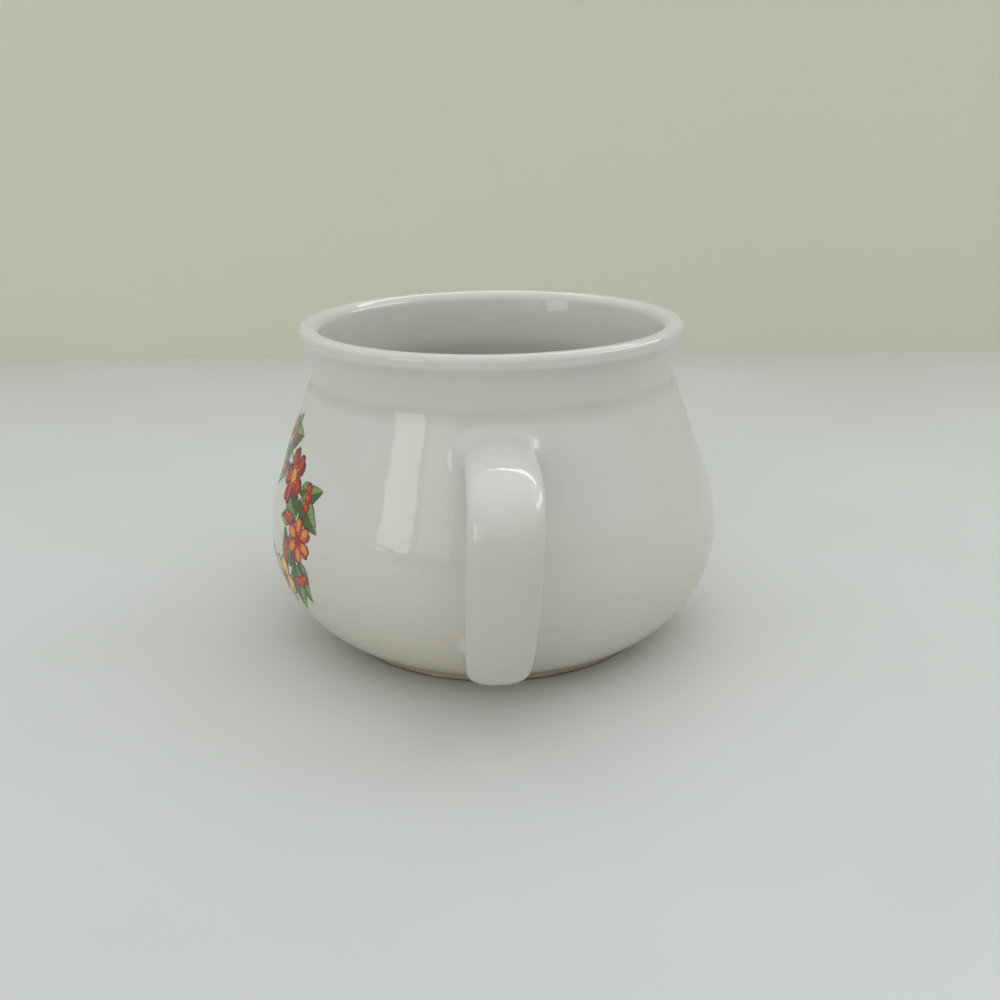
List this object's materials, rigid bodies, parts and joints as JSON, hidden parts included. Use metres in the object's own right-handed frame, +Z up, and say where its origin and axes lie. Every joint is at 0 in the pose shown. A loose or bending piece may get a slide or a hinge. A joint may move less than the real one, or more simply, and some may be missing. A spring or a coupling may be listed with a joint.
{
  "type": "soup mug",
  "caption": "Round-bellied glazed soup mug with a necked, rolled rim, a strap handle luted to its side and a flower wreath printed on its front.",
  "frame": {"origin": "centre of the foot ring, in the plane that the mug stands on", "axes": "+Z up through the mouth, +X out through the handle, -Y out through the printed front"},
  "size_m": [0.1445, 0.121, 0.0846],
  "materials": {
    "glaze": "glossy white glaze with a faint warm and cool tint, bare biscuit on the foot ring",
    "enamel": "glossy fired enamel print in red, orange, yellow and green"
  },
  "bodies": {
    "root": {"body": "glaze", "handle": "glaze", "upper_slip_joint": "glaze", "lower_slip_joint": "glaze", "transfer_print": "enamel"}
  },
  "joints": []
}
